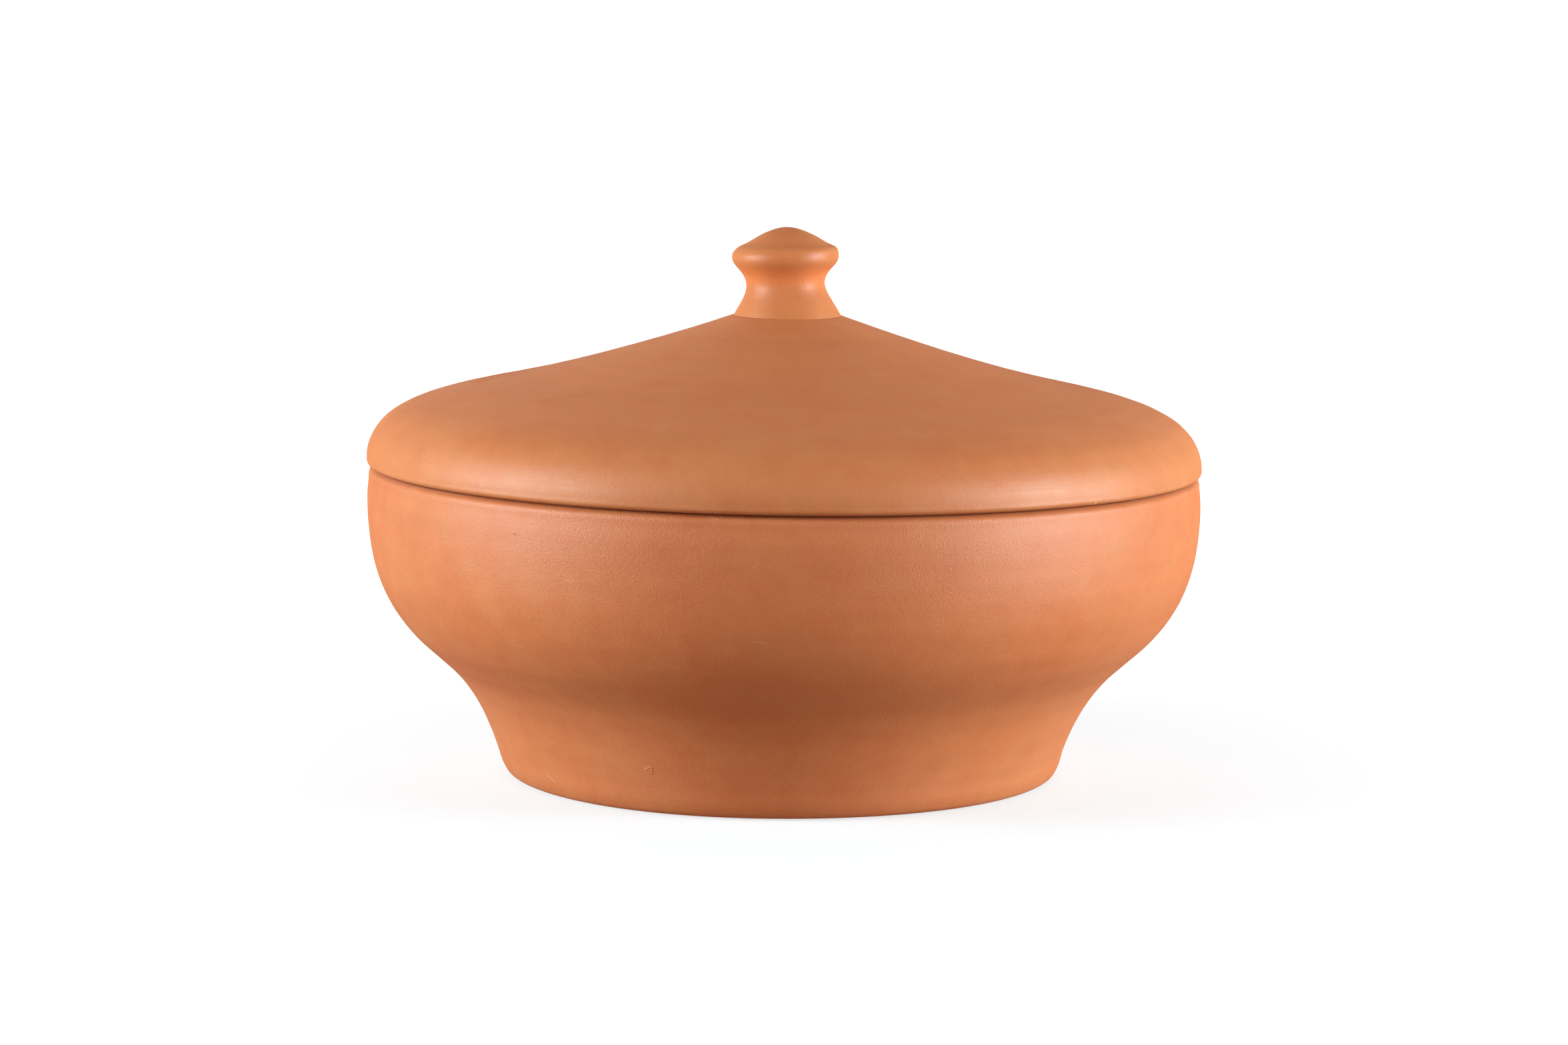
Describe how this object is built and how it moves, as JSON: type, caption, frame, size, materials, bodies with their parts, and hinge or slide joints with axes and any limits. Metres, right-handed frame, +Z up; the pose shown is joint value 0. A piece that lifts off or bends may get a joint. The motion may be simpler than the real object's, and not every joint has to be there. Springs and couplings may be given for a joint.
{
  "type": "tagine pot",
  "caption": "Round terracotta cooking pot with a waisted foot and a low, swept lid that lifts off by a turned knob; a flange under the lid locates it in the mouth.",
  "frame": {"origin": "centre of the foot ring, on the plane that the pot stands on", "axes": "+Z up along the pot's axis; the pot is round, so +X and +Y are any two level directions"},
  "size_m": [0.28, 0.28, 0.1844],
  "materials": {
    "pot_clay": "satin unglazed terracotta, wheel-thrown and sponged, with a fine sandy grain",
    "lid_clay": "satin unglazed terracotta with fine turning lines and small chips at its edge",
    "knob_clay": "satin unglazed terracotta, turned smooth"
  },
  "bodies": {
    "pot": {"pot_body": "pot_clay"},
    "lid": {"lid_shell": "lid_clay", "lid_knob": "knob_clay"}
  },
  "joints": [
    {"name": "lid_lift", "type": "slide", "parent": "pot", "child": "lid", "axis": [0, 0, 1], "range_m": [0, 0.18]}
  ]
}
